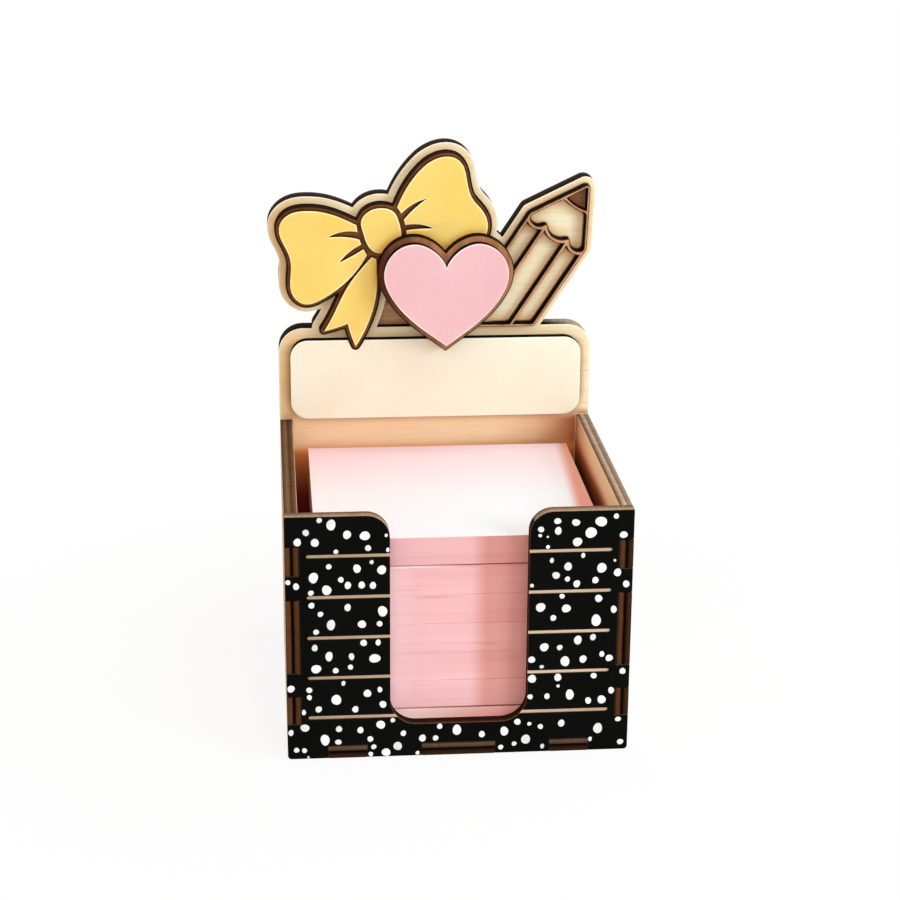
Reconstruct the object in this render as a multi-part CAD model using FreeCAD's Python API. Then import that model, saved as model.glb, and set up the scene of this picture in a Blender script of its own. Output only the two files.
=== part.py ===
import FreeCAD, Part
import math
import os

# Desk holder for a stack of square sticky notes: a finger-jointed plywood box with a finger slot in
# its front, a header of two glued boards behind it, and a bow, pencil, heart and bare plate layered
# on the header. Millimetres, +Z up, +Y towards the back, origin in the middle of the box's underside.

# Sheet stock
wall_ply = 3.6
layer_ply = 3.2
inlay_ply = 1.2
paper = 0.2

# Fits and cutting
joint_clearance = 0.1
plate_clearance = 0.4
overrun = 2.0
curve_tolerance = 0.03

# Notes: pads stacked on the floor, the top sheet of the top pad glued along its back edge
note_side = 76.0
pad_height = 8.15
pad_count = 7
glue_strip = 15.0
fold_gap = 0.1
note_front_gap = 0.4
note_side_gap = 3.9
stack_shift = 0.5
pad_slip = 0.3
pad_slip_shares = ((0.2, 0.5), (-0.9, 0.2), (0.5, 0.9), (-0.4, 0.3), (0.9, 0.7), (-0.2, 1.0))

# Box
wall_height = 68.5
foot_corner = 1.0
wall_finger_place_shares = (0.205, 0.512, 0.82)
wall_finger_size_shares = (0.114, 0.3, 0.114)
floor_finger_place_shares = (0.175, 0.5, 0.825)
floor_finger_size_shares = (0.112, 0.213, 0.112)

# Finger slot and engraved lines of the front panel
slot_width = 36.4
slot_floor = 9.3
slot_corner = 7.0
slot_shoulder = 6.2
line_count = 5
line_pitch = 11.4
line_low = 11.9
line_width = 1.0
line_depth = 0.4
line_margin = 5.6

# Header and plate
header_height = 27.5
header_corner = 7.0
rim = 2.0
plate_side_margin = 3.3
plate_low_margin = 1.1
plate_high_margin = 2.9
plate_corner = 5.0

# Bow, drawn about the middle of its knot, in shares of its span
bow_span = 60.0
bow_x = -16.0
bow_rise = 29.4
bow_border = 1.3
left_loop_shares = (
    ((-0.115, 0.028), (-0.200, 0.068), (-0.283, 0.093), (-0.358, 0.098), (-0.437, 0.080),
     (-0.480, 0.023), (-0.470, -0.040), (-0.440, -0.103), (-0.427, -0.162), (-0.432, -0.245),
     (-0.420, -0.310), (-0.367, -0.352), (-0.292, -0.335), (-0.208, -0.282), (-0.133, -0.213),
     (-0.067, -0.117)),
    ((-0.067, -0.117), (-0.093, -0.065), (-0.108, -0.017), (-0.115, 0.028)),
)
right_loop_shares = (
    ((0.077, 0.110), (0.107, 0.177), (0.158, 0.255), (0.225, 0.320), (0.283, 0.347),
     (0.333, 0.348), (0.378, 0.322), (0.402, 0.263), (0.413, 0.205), (0.435, 0.147),
     (0.477, 0.097), (0.505, 0.043), (0.505, -0.012), (0.467, -0.082), (0.367, -0.127),
     (0.233, -0.127), (0.128, -0.083)),
    ((0.128, -0.083), (0.122, -0.020), (0.110, 0.047), (0.077, 0.110)),
)
knot_shares = (
    (-0.090, 0.057), (-0.058, 0.092), (0.008, 0.108), (0.060, 0.090), (0.088, 0.033), (0.097, -0.027),
    (0.077, -0.082), (0.025, -0.107), (-0.027, -0.105), (-0.063, -0.070), (-0.085, -0.007),
)
tail_shares = (
    ((-0.045, -0.127), (-0.100, -0.190), (-0.155, -0.263), (-0.212, -0.373), (-0.275, -0.488)),
    ((-0.275, -0.488), (-0.217, -0.472), (-0.160, -0.452)),
    ((-0.160, -0.452), (-0.143, -0.515), (-0.123, -0.565)),
    ((-0.123, -0.565), (-0.080, -0.490), (-0.040, -0.387), (-0.020, -0.287), (-0.018, -0.203),
     (-0.023, -0.137)),
    ((-0.023, -0.137), (-0.045, -0.127)),
)
# Each crease: upper root, upper middle, tip, lower middle, lower root
left_crease_shares = (
    ((-0.092, -0.010), (-0.175, -0.003), (-0.250, -0.030), (-0.175, -0.028), (-0.092, -0.043)),
    ((-0.080, -0.060), (-0.148, -0.100), (-0.198, -0.152), (-0.140, -0.122), (-0.070, -0.080)),
)
right_crease_shares = (
    ((0.085, 0.068), (0.147, 0.122), (0.220, 0.152), (0.157, 0.103), (0.102, 0.043)),
    ((0.102, 0.023), (0.183, 0.028), (0.252, 0.007), (0.183, 0.007), (0.105, -0.002)),
)
# Bridge of the header between the right loop and the pencil: its two corners on the loop
bridge_shares = ((0.555, -0.025), (0.45, -0.1))

# Pencil, drawn about the middle of its shoulders
pencil_x = 34.9
pencil_rise = 28.35
pencil_lean = 33.3
pencil_width = 19.8
pencil_cone = 16.5
pencil_foot_gap = 0.4
pencil_corner = 1.0
pencil_bar = 0.75
stripe_offset = 3.9
scallop_bar = 1.05
scallop_top = -0.8
scallop_drop = 1.9
cone_corner = 1.2
lead_start = 9.2
lead_drop = 0.75
bridge_top = 10.5
bridge_low = 16.0

# Heart, drawn about the middle of its widest line, in shares of its width
heart_width = 35.5
heart_x = 2.3
heart_rise = 17.8
heart_border = 1.8
half_heart_shares = (
    (0.0, 0.056), (0.090, 0.183), (0.262, 0.251), (0.4225, 0.180), (0.5, 0.0),
    (0.439, -0.186), (0.2535, -0.397), (0.0, -0.589),
)

# Sizes and places that follow from the ones above
inner_width = note_side + 2 * note_side_gap
note_back_gap = layer_ply + plate_clearance
inner_depth = note_front_gap + note_side + note_back_gap
box_width = inner_width + 2 * wall_ply
box_depth = wall_ply + inner_depth + 2 * layer_ply
half_width = box_width / 2
half_inner = inner_width / 2
front_y = -box_depth / 2
inner_front_y = front_y + wall_ply
board_y = inner_front_y + inner_depth
rear_front_y = board_y + layer_ply
rear_y = rear_front_y + layer_ply
layer_y = board_y - layer_ply
inlay_y = layer_y - inlay_ply
heart_y = inlay_y - layer_ply
ledge_z = wall_height + header_height
bow_z = ledge_z + bow_rise
pencil_z = ledge_z + pencil_rise
pencil_foot_z = ledge_z + pencil_foot_gap
heart_z = ledge_z + heart_rise
quarter_turn = 90
sharp_join = 2


def drawn(across, up):
    """A point of a flat drawing."""
    return FreeCAD.Vector(across, up, 0)


def run(points):
    """A straight line through two points, or tangent arcs through more."""
    if len(points) == 2:
        return [Part.LineSegment(*points).toShape()]
    spline = Part.BSplineCurve()
    spline.interpolate(points)
    return [arc.toShape() for arc in spline.toBiArcs(curve_tolerance)]


def loop(points):
    """A smooth closed outline of tangent arcs."""
    spline = Part.BSplineCurve()
    spline.interpolate(points, PeriodicFlag=True)
    return [arc.toShape() for arc in spline.toBiArcs(curve_tolerance)]


def filled(edges):
    return Part.Face(Part.Wire(edges))


def polygon(points):
    return Part.Face(Part.makePolygon(points + points[:1]))


def rectangle(left, right, low, high):
    return polygon([drawn(left, low), drawn(right, low), drawn(right, high), drawn(left, high)])


def disc(centre, radius):
    return filled([Part.makeCircle(radius, centre)])


def rounded(face, radius):
    """Round the outward corners of a drawing."""
    return face.makeOffset2D(-radius).makeOffset2D(radius)


def joined(faces):
    """One drawing from several that overlap or meet, taken from the top of a fused slab."""
    lift = FreeCAD.Vector(0, 0, overrun)
    slabs = [face.extrude(lift) for face in faces]
    slab = slabs[0].multiFuse(slabs[1:]).removeSplitter()
    top = max(slab.Faces, key=lambda face: face.BoundBox.ZMin)
    return top.translated(-lift)


def upright(face, back, thickness):
    """Cut a drawing from sheet and stand it up, its back at the given depth."""
    solid = face.extrude(FreeCAD.Vector(0, 0, thickness))
    solid.rotate(FreeCAD.Vector(), FreeCAD.Vector(1, 0, 0), quarter_turn)
    solid.translate(FreeCAD.Vector(0, back, 0))
    return solid


def box(x_span, y_span, z_span):
    sizes = [span[1] - span[0] for span in (x_span, y_span, z_span)]
    return Part.makeBox(*sizes, FreeCAD.Vector(x_span[0], y_span[0], z_span[0]))


def mirrored(shape):
    return shape.mirror(FreeCAD.Vector(), FreeCAD.Vector(1, 0, 0))


def fingers(start, length, place_shares, size_shares):
    """Spans of the fingers along an edge."""
    spans = []
    for place, size in zip(place_shares, size_shares):
        middle = start + length * place
        half = length * size / 2
        spans.append((middle - half, middle + half))
    return spans


wall_fingers = fingers(0, wall_height, wall_finger_place_shares, wall_finger_size_shares)
width_fingers = fingers(-half_width, box_width, floor_finger_place_shares, floor_finger_size_shares)
depth_fingers = fingers(front_y, box_depth, floor_finger_place_shares, floor_finger_size_shares)


def widened(span):
    return span[0] - joint_clearance, span[1] + joint_clearance


def end_panel_drawing():
    """The outline shared by the front and the rear of the box, with notches for the other panels."""
    tall = rectangle(-half_width, half_width, 0, wall_height + overrun)
    panel = rounded(tall, foot_corner).common(rectangle(-half_width, half_width, 0, wall_height))
    notches = []
    for span in wall_fingers:
        low, high = widened(span)
        notch = rectangle(-half_width - overrun, joint_clearance - half_inner, low, high)
        notches += [notch, mirrored(notch)]
    for span in width_fingers:
        left, right = widened(span)
        notches.append(rectangle(left, right, -overrun, wall_ply + joint_clearance))
    return panel.cut(notches).Faces[0]


def finger_slot_drawing():
    """The slot in the front panel: round inside corners below, round shoulders at the top edge."""
    half_slot = slot_width / 2
    tall = rectangle(-half_slot, half_slot, slot_floor, wall_height + slot_corner + overrun)
    pieces = [rounded(tall, slot_corner)]
    shoulder_x = half_slot + slot_shoulder
    shoulder_z = wall_height - slot_shoulder
    corner = rectangle(0, shoulder_x, shoulder_z, wall_height + overrun)
    shoulder = corner.cut(disc(drawn(shoulder_x, shoulder_z), slot_shoulder)).Faces[0]
    return joined(pieces + [shoulder, mirrored(shoulder)])


def front_panel():
    panel = upright(end_panel_drawing().cut(finger_slot_drawing()), inner_front_y, wall_ply)
    line_end = half_width - line_margin - line_width / 2
    for row in range(line_count):
        line_z = line_low + row * line_pitch
        half_line = line_width / 2
        bar = rectangle(0, line_end, line_z - half_line, line_z + half_line)
        line = joined([bar, disc(drawn(line_end, line_z), half_line)])
        groove = upright(line, front_y + line_depth, line_depth + overrun)
        panel = panel.cut([groove, mirrored(groove)])
    return panel.Solids[0]


def side_panel():
    """The right side; its fingers pass through the front and rear panels."""
    wall = (half_inner, half_width)
    panel = box(wall, (inner_front_y, rear_front_y), (0, wall_height))
    for span in wall_fingers:
        panel = panel.fuse([box(wall, (front_y, inner_front_y), span), box(wall, (rear_front_y, rear_y), span)])
    for span in depth_fingers:
        through = (half_inner - overrun, half_width + overrun)
        panel = panel.cut(box(through, widened(span), (-overrun, wall_ply + joint_clearance)))
    return panel.removeSplitter().Solids[0]


def base_panel():
    """The floor, with fingers on all four edges."""
    floor = (0, wall_ply)
    panel = box((-half_inner, half_inner), (inner_front_y, rear_front_y), floor)
    for span in width_fingers:
        panel = panel.fuse([box(span, (front_y, inner_front_y), floor), box(span, (rear_front_y, rear_y), floor)])
    for span in depth_fingers:
        side = box((half_inner, half_width), span, floor)
        panel = panel.fuse([side, mirrored(side)])
    return panel.removeSplitter().Solids[0]


def bow_point(share):
    return drawn(bow_x + bow_span * share[0], bow_z + bow_span * share[1])


def bow_drawing(runs):
    edges = []
    for shares in runs:
        edges += run([bow_point(share) for share in shares])
    return filled(edges)


def crease_drawing(shares):
    root_high, high, tip, low, root_low = [bow_point(share) for share in shares]
    upper = Part.Arc(root_high, high, tip).toShape()
    lower = Part.Arc(tip, low, root_low).toShape()
    return filled([upper, lower, Part.LineSegment(root_low, root_high).toShape()])


left_loop = bow_drawing(left_loop_shares)
right_loop = bow_drawing(right_loop_shares)
knot = filled(loop([bow_point(share) for share in knot_shares]))
tail = bow_drawing(tail_shares)
bow_pieces = [left_loop, right_loop, knot, tail]


def creased(face, crease_shares):
    return face.cut([crease_drawing(shares) for shares in crease_shares]).Faces[0]


lean = math.radians(pencil_lean)
pencil_along = FreeCAD.Vector(math.sin(lean), math.cos(lean), 0)
pencil_across = FreeCAD.Vector(math.cos(lean), -math.sin(lean), 0)
half_pencil = pencil_width / 2
half_bar = pencil_bar / 2
half_scallop = scallop_bar / 2


def pencil_point(across, along):
    return drawn(pencil_x, pencil_z) + pencil_across * across + pencil_along * along


def pencil_foot(across):
    """Where a line down the pencil meets its level foot."""
    start = pencil_point(across, 0)
    return start - pencil_along * ((start.y - pencil_foot_z) / pencil_along.y)


def pencil_outline():
    corners = [
        pencil_point(0, pencil_cone),
        pencil_point(half_pencil, 0),
        pencil_foot(half_pencil),
        pencil_foot(-half_pencil),
        pencil_point(-half_pencil, 0),
    ]
    return rounded(polygon(corners), pencil_corner)


def stroke(edges, half_band):
    """A band along a chain of edges."""
    return Part.Wire(edges).makeOffset2D(half_band, 0, True)


def scallop_drawing():
    """Three hanging arcs that part the shaved cone from the striped body."""
    cusps = (-half_pencil, -stripe_offset, stripe_offset, half_pencil)
    arcs = []
    for left, right in zip(cusps, cusps[1:]):
        ends = [pencil_point(across, scallop_top) for across in (left, right)]
        lowest = pencil_point((left + right) / 2, scallop_top - scallop_drop)
        arcs.append(Part.Arc(ends[0], lowest, ends[1]).toShape())
    return stroke(arcs, half_scallop)


def stripe_drawing(across):
    edges = (across - half_bar, across + half_bar)
    return polygon([
        pencil_point(edges[0], scallop_top),
        pencil_point(edges[1], scallop_top),
        pencil_foot(edges[1]),
        pencil_foot(edges[0]),
    ])


def lead_line_drawing():
    reach = half_pencil * (1 - lead_start / pencil_cone)
    ends = [pencil_point(across, lead_start) for across in (-reach, reach)]
    return stroke([Part.Arc(ends[0], pencil_point(0, lead_start - lead_drop), ends[1]).toShape()], half_bar)


def pencil_holes():
    """The holes between the bars, from the lead down: the lead's, the cone's and those between stripes."""
    bars = [scallop_drawing(), lead_line_drawing(), stripe_drawing(-stripe_offset), stripe_drawing(stripe_offset)]
    parted = pencil.makeOffset2D(-pencil_bar).cut(bars).Faces
    return sorted(parted, key=lambda face: -face.CenterOfMass.y)


pencil = pencil_outline()
lead_hole, cone_hole, *stripe_holes = pencil_holes()


def pencil_fret_drawing():
    return pencil.cut([lead_hole, rounded(cone_hole, cone_corner)] + stripe_holes).Faces[0]


def bridge_drawing():
    """The part of the header that ties the right loop to the side of the pencil."""
    loop_corners = [bow_point(share) for share in bridge_shares]
    side_corners = [pencil_point(-half_pencil - rim, -bridge_top), pencil_point(-half_pencil, -bridge_low)]
    return polygon([loop_corners[0], side_corners[0], side_corners[1], loop_corners[1]])


def heart_drawing():
    right = [drawn(heart_x + heart_width * x, heart_z + heart_width * z) for x, z in half_heart_shares]
    left = [drawn(heart_x - heart_width * x, heart_z + heart_width * z) for x, z in half_heart_shares]
    return filled(run(right) + run(left[::-1]))


def plate_drawing():
    side = half_width - plate_side_margin
    plate = rectangle(-side, side, wall_height + plate_low_margin, ledge_z - plate_high_margin)
    return rounded(plate, plate_corner).cut(tail.makeOffset2D(bow_border + joint_clearance)).Faces[0]


def header_drawing():
    """Outline of the header above the walls: the ledge, and a rim round the bow and the pencil."""
    ledge = rounded(rectangle(-half_width, half_width, wall_height - header_corner, ledge_z), header_corner)
    ledge = ledge.common(rectangle(-half_width, half_width, wall_height, ledge_z)).Faces[0]
    rims = [piece.makeOffset2D(bow_border + rim) for piece in bow_pieces]
    return joined([ledge, pencil.makeOffset2D(rim), bridge_drawing()] + rims)


def header_board_drawing():
    """The front board stands on the floor between the side walls and rests its shoulders on them."""
    side = half_inner - joint_clearance
    return joined([header_drawing(), rectangle(-side, side, wall_ply, wall_height)])


def rear_board_drawing():
    whole_header = filled(header_drawing().OuterWire.Edges)
    return joined([whole_header, end_panel_drawing()])


def note_span_x(slip):
    left = stack_shift - note_side / 2 + slip
    return left, left + note_side


def note_span_y(slip):
    front = inner_front_y + note_front_gap + slip
    return front, front + note_side


def lower_pad(level):
    """One of the pads under the top one, a little out of line with its neighbours."""
    across, back = [pad_slip * share for share in pad_slip_shares[level % len(pad_slip_shares)]]
    low = wall_ply + level * pad_height
    return box(note_span_x(across), note_span_y(back), (low, low + pad_height))


stack_top = wall_ply + pad_count * pad_height
sheet_span_z = (stack_top - paper, stack_top)
note_front, note_back = note_span_y(0)
fold_y = note_back - glue_strip
heart = heart_drawing()

parts = {
    "base_panel": base_panel(),
    "front_panel": front_panel(),
    "left_side_panel": mirrored(side_panel()),
    "right_side_panel": side_panel(),
    "rear_board": upright(rear_board_drawing(), rear_y, layer_ply),
    "header_board": upright(header_board_drawing(), rear_front_y, layer_ply),
    "name_plate": upright(plate_drawing(), board_y, layer_ply),
    "bow_backing": upright(joined([piece.makeOffset2D(bow_border) for piece in bow_pieces]), board_y, layer_ply),
    "bow_left_loop": upright(creased(left_loop, left_crease_shares), layer_y, inlay_ply),
    "bow_right_loop": upright(creased(right_loop, right_crease_shares), layer_y, inlay_ply),
    "bow_knot": upright(knot, layer_y, inlay_ply),
    "bow_tail": upright(tail, layer_y, inlay_ply),
    "pencil_fret": upright(pencil_fret_drawing(), board_y, layer_ply),
    "pencil_lead": upright(lead_hole.makeOffset2D(-joint_clearance), board_y, inlay_ply),
    "heart_backing": upright(heart.makeOffset2D(heart_border, sharp_join), inlay_y, layer_ply),
    "heart_face": upright(heart, heart_y, layer_ply),
    "top_pad": box(note_span_x(0), note_span_y(0), (stack_top - pad_height, stack_top - paper)),
    "top_note_strip": box(note_span_x(0), (fold_y, note_back), sheet_span_z),
    "top_note_flap": box(note_span_x(0), (note_front, fold_y - fold_gap), sheet_span_z),
}
for level in range(pad_count - 1):
    parts["note_pad_%d" % (level + 1)] = lower_pad(level)

os.makedirs("parts", exist_ok=True)
for name, shape in parts.items():
    shape.exportStep("parts/%s.step" % name)
    print(name, len(shape.Solids), shape.isValid(), round(shape.Volume), shape.BoundBox)
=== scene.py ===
import math
import random

import bmesh
import bpy
from mathutils import Matrix, Vector


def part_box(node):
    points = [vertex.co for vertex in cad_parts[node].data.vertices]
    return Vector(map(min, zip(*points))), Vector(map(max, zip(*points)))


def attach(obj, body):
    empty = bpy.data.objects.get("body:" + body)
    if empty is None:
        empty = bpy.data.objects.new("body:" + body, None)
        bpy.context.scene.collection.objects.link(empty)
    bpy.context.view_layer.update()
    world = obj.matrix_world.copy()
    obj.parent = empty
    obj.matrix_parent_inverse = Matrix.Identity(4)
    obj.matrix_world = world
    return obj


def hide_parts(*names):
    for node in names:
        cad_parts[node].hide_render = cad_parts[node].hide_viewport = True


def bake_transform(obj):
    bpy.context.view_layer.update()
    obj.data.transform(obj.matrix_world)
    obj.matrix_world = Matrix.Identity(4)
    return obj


# Sticky note holder: a plywood box with a black dotted front, a layered bow, pencil and heart on its
# header, and a stack of pink notes. Metres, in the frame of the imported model.
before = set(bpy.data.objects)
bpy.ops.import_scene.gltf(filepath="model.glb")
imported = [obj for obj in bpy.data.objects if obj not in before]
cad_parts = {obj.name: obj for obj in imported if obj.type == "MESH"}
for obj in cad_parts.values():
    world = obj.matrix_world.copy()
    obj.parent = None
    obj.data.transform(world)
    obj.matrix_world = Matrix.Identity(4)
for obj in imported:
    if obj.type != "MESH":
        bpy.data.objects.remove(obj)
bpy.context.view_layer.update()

mm = 0.001
axes = "XYZ"

# Colours, as they look under even light, except those marked as painted light or shade
birch_pale = (255, 242, 209)
birch_deep = (252, 230, 190)
birch_pore = (222, 190, 150)
# Painted warm bounce light: the birch inside the box, given a peach colour
bounce_peach_pale = (255, 224, 184)
bounce_peach_deep = (255, 212, 166)
# Painted shade down the narrow gaps behind and beside the notes
rear_gap_mid = (255, 162, 72)
rear_gap_deep = (184, 14, 1)
side_gap_mid = (210, 112, 52)
side_gap_deep = (20, 1, 0)
# Painted shade in the box's rear right corner
corner_painted_shade = (176, 84, 6)
# Painted shade at the header's far left
far_left_painted_shade = (242, 165, 20)
# Painted shade: the rear board's bare front, seen only through the header's window
window_shade_pale = (226, 174, 130)
window_shade_deep = (188, 134, 94)
# Painted shade: the side walls' outer faces as a darker copy of the birch
outside_shade_pale = (230, 212, 184)
outside_shade_deep = (211, 189, 158)
# Painted highlight along eased birch edges
wood_arris_highlight = (253, 239, 214)
cream_pale = (250, 241, 220)
cream_deep = (246, 234, 210)
# Painted highlight on the cream plate's arris
cream_arris_highlight = (255, 250, 236)
yellow_pale = (249, 215, 121)
yellow_deep = (245, 205, 103)
# Painted highlight on the yellow pieces' arris
yellow_arris_highlight = (255, 242, 186)
pink_pale = (238, 190, 194)
pink_deep = (234, 182, 187)
# Painted highlight on the pink heart's arris
pink_arris_highlight = (255, 234, 234)
brown_pale = (142, 88, 48)
brown_deep = (104, 58, 28)
brown_arris_pale = (46, 20, 8)
brown_arris_deep = (24, 10, 4)
heart_brown_pale = (196, 136, 94)
heart_brown_deep = (164, 108, 70)
# Painted shade: the heart's brown, darker towards its left
heart_brown_shade_left = (120, 74, 56)
fret_pale = (206, 160, 124)
fret_deep = (176, 128, 94)
fret_arris = (44, 23, 13)
lead_pale = (158, 108, 70)
lead_deep = (112, 70, 42)
black_pale = (10, 11, 8)
black_deep = (6, 7, 5)
engraved_pale = (238, 214, 186)
engraved_deep = (218, 190, 159)
engraved_left = (216, 213, 210)
# Painted shade on the walls of the engraved lines
groove_shade_pale = (74, 50, 36)
groove_shade_deep = (44, 28, 19)
dot_pale = (253, 253, 251)
dot_deep = (226, 227, 223)
# Top sheet: a painted highlight, a painted shade and a painted shadow of the box's right wall
sheet_painted_highlight = (252, 253, 255)
sheet_shaded_pink = (255, 214, 217)
sheet_wall_shadow = (233, 163, 146)
paper_pale = (245, 193, 196)
paper_deep = (239, 181, 185)
top_paper_pale = (238, 184, 186)
top_paper_deep = (231, 172, 175)
paper_line = (214, 142, 146)
# Painted light on the pads beside the slot's left jamb
paper_painted_light_left = (255, 208, 211)
# Painted shadow under a pad's edge at a break in the stack, darker towards the right
parting_shadow_left = (214, 150, 152)
parting_shadow_right = (146, 64, 62)
# Painted highlight on a pad's top arris, fading into painted shade at the right
arris_highlight_left = (255, 250, 246)
arris_highlight_right = (238, 166, 156)
# The lowest pad's edges: pale at the slot's left, darker at its right as painted shade
lowest_left = (255, 222, 216)
lowest_right = (240, 172, 164)
jamb_shade = (229, 205, 192)

# Cut edges of boards: share of the thickness from the inner to the outer face, and the colour there
# The left wall's top edge is darker than the right wall's: painted shade
left_top_plies = (
    (0.0, (150, 116, 90)), (0.12, (114, 80, 52)), (0.4, (86, 52, 26)), (0.62, (134, 102, 74)),
    (0.84, (112, 80, 52)), (1.0, (76, 46, 22)),
)
right_top_plies = (
    (0.0, (156, 120, 94)), (0.12, (108, 76, 52)), (0.28, (166, 136, 114)), (0.48, (212, 182, 158)),
    (0.64, (132, 104, 82)), (0.8, (156, 132, 110)), (1.0, (172, 152, 138)),
)
front_top_plies = (
    (0.0, (128, 100, 80)), (0.25, (122, 92, 70)), (0.55, (160, 132, 105)), (0.85, (178, 148, 122)),
    (1.0, (168, 142, 118)),
)
left_finger_plies = (
    (0.0, (60, 34, 20)), (0.1, (84, 52, 32)), (0.32, (74, 42, 22)), (0.41, (9, 2, 1)),
    (0.57, (9, 2, 1)), (0.66, (90, 56, 32)), (0.9, (98, 62, 36)), (1.0, (48, 24, 12)),
)
right_finger_plies = (
    (0.0, (44, 26, 14)), (0.1, (86, 52, 33)), (0.3, (88, 54, 34)), (0.43, (7, 1, 1)),
    (0.57, (8, 2, 1)), (0.68, (50, 27, 11)), (0.9, (64, 38, 20)), (1.0, (44, 24, 12)),
)
base_finger_plies = (
    (0.0, (40, 28, 16)), (0.12, (98, 76, 58)), (0.34, (84, 62, 44)), (0.43, (10, 3, 1)), (0.56, (10, 3, 1)),
    (0.68, (46, 25, 11)), (1.0, (58, 40, 26)),
)
# Darker plies for the front's cut faces below the top and its left-facing jamb faces: painted shade on the
# burnt plywood
slot_plies = (
    (0.0, (46, 24, 13)), (0.4, (32, 15, 8)), (0.6, (44, 22, 11)), (0.86, (66, 38, 22)), (1.0, (118, 88, 63)),
)
header_plies = ((0.0, (18, 10, 6)), (0.6, (20, 11, 7)), (0.84, (50, 36, 26)), (1.0, (30, 19, 13)))
rear_plies = (
    (0.0, (16, 9, 6)), (0.22, (46, 33, 23)), (0.5, (66, 50, 36)), (0.8, (46, 33, 24)), (1.0, (28, 18, 12)),
)
layer_plies = ((0.0, (24, 13, 8)), (0.45, (13, 7, 4)), (1.0, (20, 11, 7)))
# Painted light: the header's cut edge along its right shoulder
lit_shoulder_edge = (204, 186, 166)

# Near a wall, found by occlusion: a brown tint and a dark line right beside it, partly smoke from the cutting
# and partly painted shade and shadow; the warm tint with the widest reach is a painted warm shade
warm_reach = 4 * mm
soot_shade_reach = 2.6 * mm
scorch_shadow_reach = 0.9 * mm
warm_shade = (255, 222, 170)
wood_soot_and_shade = (255, 178, 88)
plate_soot_and_shade = (200, 130, 60)
wood_scorch_and_shadow = (26, 10, 5)
brown_scorch_and_shadow = (120, 66, 40)
paint_soot_and_shade = (246, 196, 128)


# Where a finish changes: across the object, from its front to its back, or upwards
side_corner = (5 * mm, 42 * mm)
side_gap = (64 * mm, 58.5 * mm, 53 * mm)
rear_gap = (61.5 * mm, 57.5 * mm, 44 * mm)
box_mouth = (67.2 * mm, 70.5 * mm)
plate_head = (91 * mm, 93.2 * mm)
pencil_foot = (95.5 * mm, 97 * mm)
pencil_left = (14 * mm, 17 * mm)
far_left_side = (-33 * mm, -45 * mm)
rear_corner = (17 * mm, 41.5 * mm)
right_shoulder = (88 * mm, 100 * mm)
shoulder_length = 9 * mm
slot_left_side = (-23 * mm, -11 * mm)
slot_right_side = (2.6 * mm, 8.2 * mm)
slot_middle = (-15 * mm, 12 * mm)
engraved_middle = (-40 * mm, 10 * mm)
sheet_back = (-22 * mm, 40 * mm)
sheet_width = (-44 * mm, 40 * mm)
sheet_depth = (-40 * mm, 40 * mm)
sheet_wall_shadow_side = (32.8 * mm, 36.5 * mm)
sheet_wall_shadow_lean = 1.8 * mm
ply_waver = 0.016
shade_low, shade_high = 0.32, 0.64
pore_low, pore_high, pore_share = 0.62, 0.72, 0.35

# Sockets of a node that mixes colours
mix_share, mix_under, mix_over, mix_result = 0, 6, 7, 2


def light_values(colour):
    """Screen levels turned into the values that shaders take."""
    shares = [level / 255 for level in colour]
    return [s / 12.92 if s <= 0.04045 else ((s + 0.055) / 1.055) ** 2.4 for s in shares] + [1.0]


def grey(share):
    return (share, share, share, 1.0)


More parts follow.
